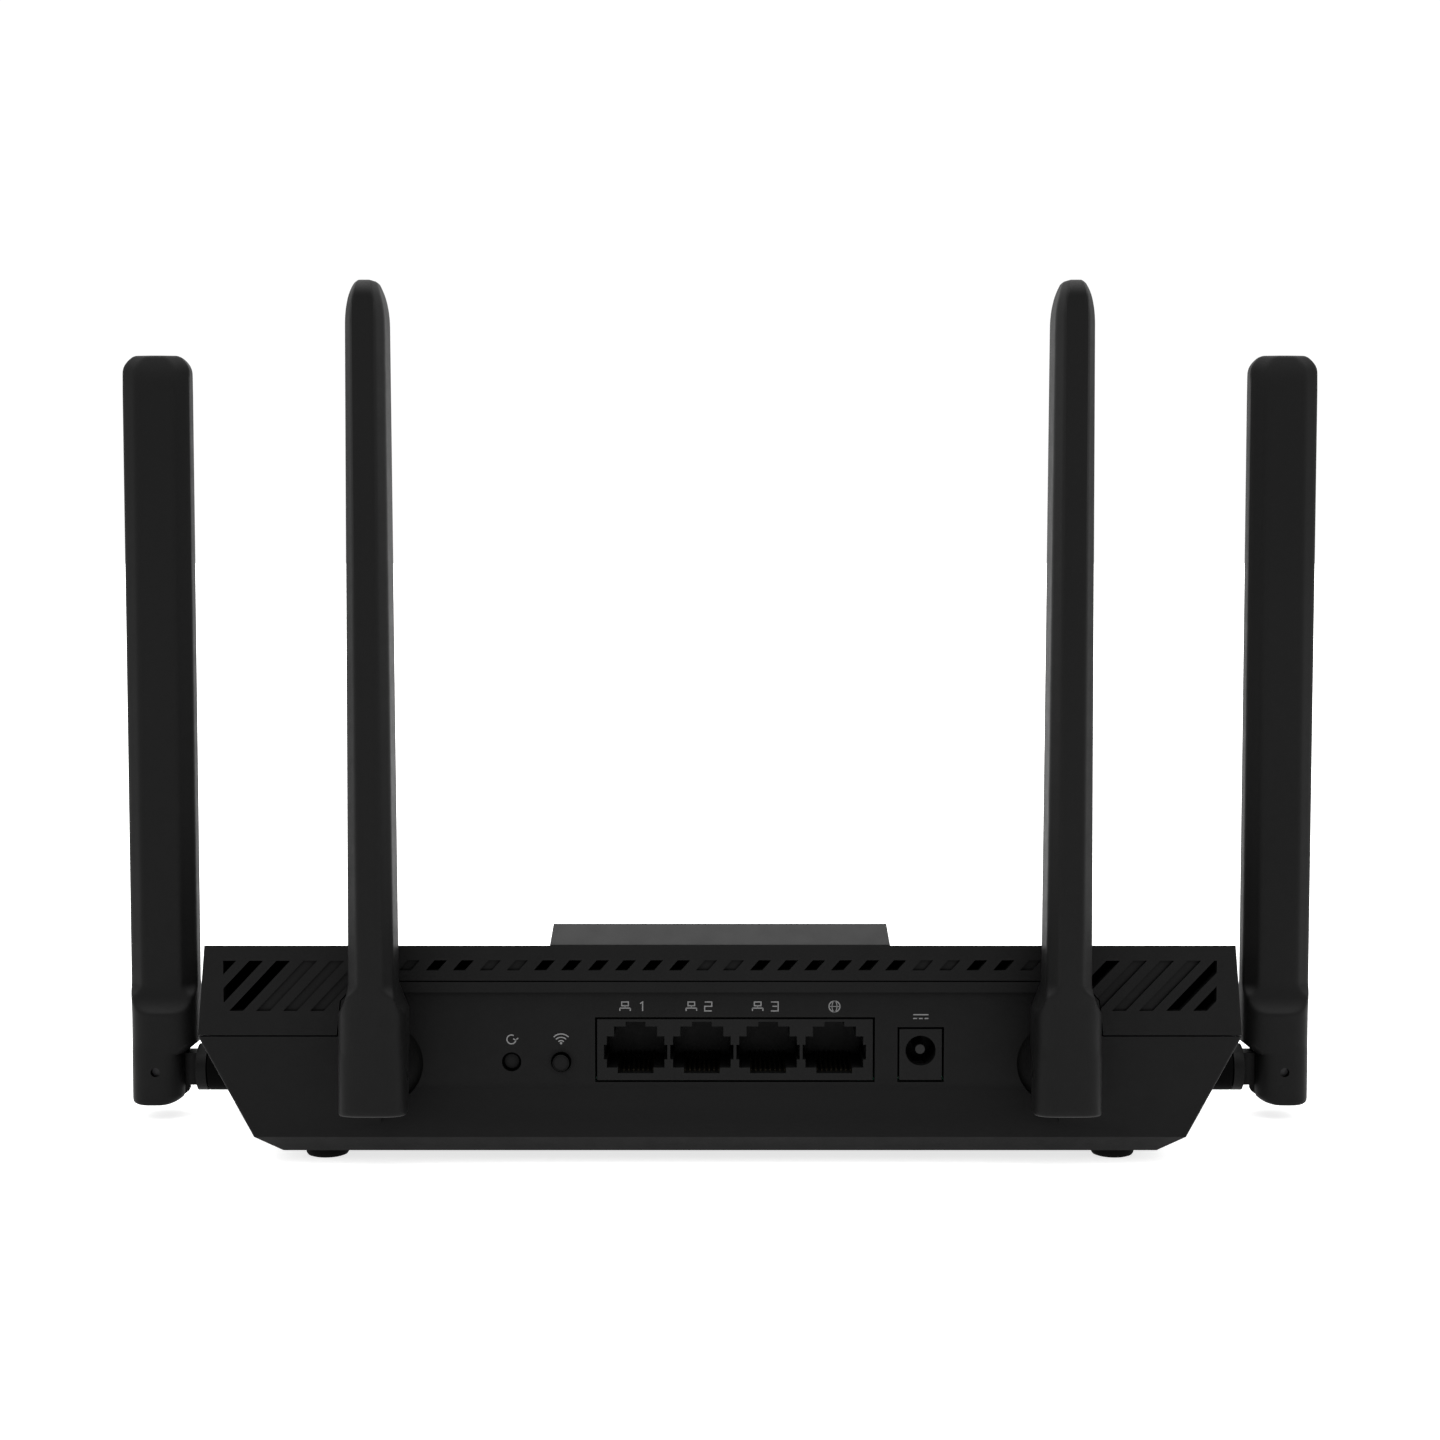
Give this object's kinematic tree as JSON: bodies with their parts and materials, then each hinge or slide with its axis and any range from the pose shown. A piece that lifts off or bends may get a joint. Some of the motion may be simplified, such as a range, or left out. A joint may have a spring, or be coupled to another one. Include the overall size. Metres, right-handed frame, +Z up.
{
  "type": "wireless router",
  "caption": "Wedge-shaped wireless router with swivelling, folding antennas, a rear port panel, slanted vents and a ribbed strip on top.",
  "frame": {"origin": "centre of the object's box in X and Y, on the table", "axes": "+Z up, the port side faces +Y, the front faces -Y, +X along the width"},
  "size_m": [0.2688, 0.1446, 0.1831],
  "materials": {
    "shell": "fine spark-eroded texture",
    "trim": "ribbed, satin",
    "antenna": "fine spark-eroded texture",
    "knuckle": "smooth matt",
    "ports": "smooth matt",
    "light_guide": "clear, frosted",
    "feet": "matt",
    "label": "blank printed film",
    "screws": "zinc plated",
    "pins": "plain",
    "board": "solder mask",
    "contacts": "gold plated",
    "plated_steel": "tin plated",
    "chips": "moulded",
    "pad": "soft silicone",
    "heat_sink": "anodised",
    "lamps": "clear",
    "leads": "coaxial lead jacket"
  },
  "bodies": {
    "case": {"bottom_case": "shell", "side_bushes": "shell", "top_cover": "shell", "centre_trim": "trim", "light_guide": "light_guide", "rubber_feet": "feet", "base_label": "label", "case_screws": "screws", "circuit_board": "board", "board_screws": "screws", "socket_block": "ports", "socket_contacts": "contacts", "dc_inlet": "ports", "dc_pin": "plated_steel", "dc_spring": "plated_steel", "reset_switch": "chips", "wps_switch": "chips", "processor": "chips", "thermal_pad": "pad", "heat_sink": "heat_sink", "memory_chips": "chips", "radio_shields": "plated_steel", "line_transformers": "chips", "capacitors": "chips", "inductors": "chips", "crystals": "plated_steel", "status_leds": "lamps", "antenna_sockets": "contacts", "rear_right_lead": "leads", "rear_left_lead": "leads", "side_right_lead": "leads", "side_left_lead": "leads"},
    "reset_push": {"reset_button": "shell", "reset_plunger": "chips"},
    "wps_push": {"wps_button": "shell", "wps_plunger": "chips"},
    "rear_right_swivel": {"rear_right_knuckle": "knuckle", "rear_right_pin": "pins", "rear_right_clip": "pins"},
    "rear_right_blade": {"rear_right_antenna": "antenna", "rear_right_radiator": "board"},
    "rear_left_swivel": {"rear_left_knuckle": "knuckle", "rear_left_pin": "pins", "rear_left_clip": "pins"},
    "rear_left_blade": {"rear_left_antenna": "antenna", "rear_left_radiator": "board"},
    "side_right_swivel": {"side_right_knuckle": "knuckle", "side_right_pin": "pins", "side_right_clip": "pins"},
    "side_right_blade": {"side_right_antenna": "antenna", "side_right_radiator": "board"},
    "side_left_swivel": {"side_left_knuckle": "knuckle", "side_left_pin": "pins", "side_left_clip": "pins"},
    "side_left_blade": {"side_left_antenna": "antenna", "side_left_radiator": "board"}
  },
  "joints": [
    {"name": "reset_press", "type": "slide", "parent": "case", "child": "reset_push", "axis": [0, -1, 0], "range_m": [0, 0.0006], "stiffness_N_per_m": 1500, "springref_m": -0.0003},
    {"name": "wps_press", "type": "slide", "parent": "case", "child": "wps_push", "axis": [0, -1, 0], "range_m": [0, 0.0006], "stiffness_N_per_m": 1500, "springref_m": -0.0003},
    {"name": "rear_right_turn", "type": "hinge", "parent": "case", "child": "rear_right_swivel", "pos_m": [0.0712, 0.06598, 0.0213], "axis": [0, 1, 0], "range_deg": [-45, 90]},
    {"name": "rear_right_fold", "type": "hinge", "parent": "rear_right_swivel", "child": "rear_right_blade", "pos_m": [0.0712, 0.06598, 0.0213], "axis": [-1, 0, 0], "range_deg": [0, 90]},
    {"name": "rear_left_turn", "type": "hinge", "parent": "case", "child": "rear_left_swivel", "pos_m": [-0.0712, 0.06598, 0.0213], "axis": [0, 1, 0], "range_deg": [-90, 45]},
    {"name": "rear_left_fold", "type": "hinge", "parent": "rear_left_swivel", "child": "rear_left_blade", "pos_m": [-0.0712, 0.06598, 0.0213], "axis": [-1, 0, 0], "range_deg": [0, 90]},
    {"name": "side_right_turn", "type": "hinge", "parent": "case", "child": "side_right_swivel", "pos_m": [0.12805, 0.00668, 0.0111], "axis": [1, 0, 0], "range_deg": [-90, 90]},
    {"name": "side_right_fold", "type": "hinge", "parent": "side_right_swivel", "child": "side_right_blade", "pos_m": [0.12805, 0.00668, 0.0111], "axis": [0, 1, 0], "range_deg": [0, 90]},
    {"name": "side_left_turn", "type": "hinge", "parent": "case", "child": "side_left_swivel", "pos_m": [-0.12805, 0.00668, 0.0111], "axis": [1, 0, 0], "range_deg": [-90, 90]},
    {"name": "side_left_fold", "type": "hinge", "parent": "side_left_swivel", "child": "side_left_blade", "pos_m": [-0.12805, 0.00668, 0.0111], "axis": [0, -1, 0], "range_deg": [0, 90]}
  ]
}
